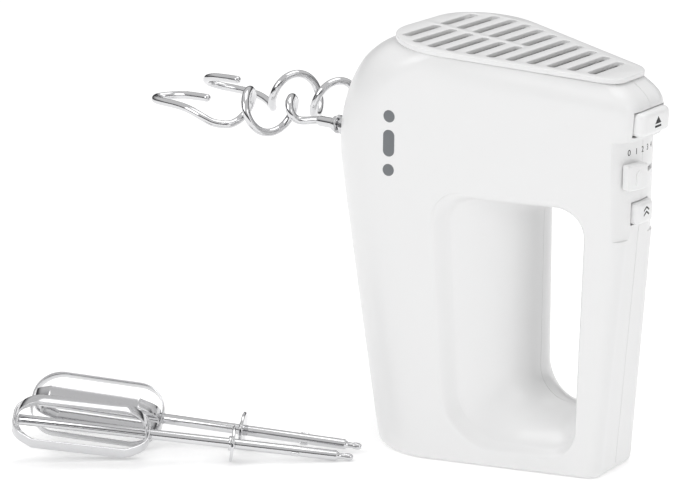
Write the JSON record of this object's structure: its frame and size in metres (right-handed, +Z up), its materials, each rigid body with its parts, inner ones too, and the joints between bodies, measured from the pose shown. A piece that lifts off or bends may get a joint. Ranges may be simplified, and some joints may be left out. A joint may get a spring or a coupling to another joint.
{
  "type": "hand mixer",
  "caption": "Electric hand mixer standing on its heel, with dough hooks plugged in and loose beaters beside it.",
  "frame": {"origin": "centre of the flat heel that the mixer stands on", "axes": "+Z up towards the nose grille, +X towards the handle and its controls, -X the way the hooks point"},
  "size_m": [0.2682, 0.2096, 0.1935],
  "materials": {
    "casing": "glossy white moulding",
    "button": "satin white moulding",
    "chromed_steel": "bright chrome plate",
    "bright_steel": "ground steel",
    "laminated_steel": "stacked sheet steel",
    "enamelled_copper": "enamelled winding wire",
    "bronze": "sintered bronze",
    "nylon": "natural nylon",
    "carbon": "pressed carbon",
    "board": "green solder mask",
    "black_plastic": "black moulding"
  },
  "bodies": {
    "housing": {"circuit_board": "board", "cord_inlet_bush": "black_plastic", "crown_screw": "bright_steel", "eject_spring": "bright_steel", "gearbox_frame": "nylon", "grip_screw": "bright_steel", "heel_screw": "bright_steel", "left_brush": "carbon", "left_brush_holder": "bronze", "left_field_coil": "enamelled_copper", "left_front_bush": "bronze", "left_rear_bush": "bronze", "left_shell": "casing", "lower_bearing": "bronze", "middle_bearing": "bronze", "motor_bracket": "nylon", "nose_grille": "casing", "nose_screw": "bright_steel", "right_brush": "carbon", "right_brush_holder": "bronze", "right_field_coil": "enamelled_copper", "right_front_bush": "bronze", "right_rear_bush": "bronze", "right_shell": "casing", "speed_switch": "black_plastic", "stator_core": "laminated_steel", "suppressor_capacitor": "black_plastic", "turbo_spring": "bright_steel", "turbo_switch": "black_plastic", "upper_bearing": "bronze"},
    "eject": {"eject_button": "button", "eject_yoke": "nylon"},
    "turbo": {"turbo_button": "button"},
    "speed": {"speed_lever": "button"},
    "rotor": {"motor_shaft": "bright_steel", "worm": "bright_steel", "armature_core": "laminated_steel", "lower_armature_winding": "enamelled_copper", "upper_armature_winding": "enamelled_copper", "commutator": "enamelled_copper", "cooling_fan": "nylon"},
    "right_drive": {"right_spindle": "bright_steel", "right_worm_wheel": "nylon"},
    "left_drive": {"left_spindle": "bright_steel", "left_worm_wheel": "nylon"},
    "right_hook": {"right_dough_hook": "chromed_steel", "right_hook_shank": "chromed_steel", "right_hook_collar": "chromed_steel"},
    "left_hook": {"left_dough_hook": "chromed_steel", "left_hook_shank": "chromed_steel", "left_hook_collar": "chromed_steel"},
    "front_beater": {"front_beater_shaft": "chromed_steel", "front_beater_outer_loop": "chromed_steel", "front_beater_inner_loop": "chromed_steel", "front_beater_collar": "chromed_steel"},
    "rear_beater": {"rear_beater_shaft": "chromed_steel", "rear_beater_outer_loop": "chromed_steel", "rear_beater_inner_loop": "chromed_steel", "rear_beater_collar": "chromed_steel"}
  },
  "joints": [
    {"name": "eject_press", "type": "slide", "parent": "housing", "child": "eject", "axis": [-1, 0, 0], "range_m": [0, 0.005], "stiffness_N_per_m": 900, "springref_m": -0.002, "deforming": ["eject_spring"]},
    {"name": "turbo_press", "type": "slide", "parent": "housing", "child": "turbo", "axis": [-1, 0, 0], "range_m": [0, 0.0022], "stiffness_N_per_m": 900, "springref_m": -0.001, "deforming": ["turbo_spring"]},
    {"name": "speed_select", "type": "hinge", "parent": "housing", "child": "speed", "pos_m": [0.0325, 0, 0.1412], "axis": [0, 0, 1], "range_deg": [0, 28]},
    {"name": "motor_spin", "type": "hinge", "parent": "housing", "child": "rotor", "pos_m": [-0.028, 0, 0.1], "axis": [0, 0, 1], "continuous": true},
    {"name": "right_spindle_spin", "type": "hinge", "parent": "housing", "child": "right_drive", "pos_m": [-0.028, -0.0198, 0.1435], "axis": [1, 0, 0], "continuous": true},
    {"name": "left_spindle_spin", "type": "hinge", "parent": "housing", "child": "left_drive", "pos_m": [-0.028, 0.0198, 0.1435], "axis": [1, 0, 0], "continuous": true},
    {"name": "right_hook_pull", "type": "slide", "parent": "right_drive", "child": "right_hook", "axis": [-1, 0, 0], "range_m": [0, 0.06]},
    {"name": "left_hook_pull", "type": "slide", "parent": "left_drive", "child": "left_hook", "axis": [-1, 0, 0], "range_m": [0, 0.06]},
    {"name": "front_beater_lift", "type": "slide", "parent": "housing", "child": "front_beater", "axis": [0, 0, 1], "range_m": [0, 0.12]},
    {"name": "rear_beater_lift", "type": "slide", "parent": "housing", "child": "rear_beater", "axis": [0, 0, 1], "range_m": [0, 0.12]}
  ],
  "couplings": [
    {"joint": "right_spindle_spin", "follows": "motor_spin", "ratio": 0.045455},
    {"joint": "left_spindle_spin", "follows": "motor_spin", "ratio": -0.045455}
  ]
}
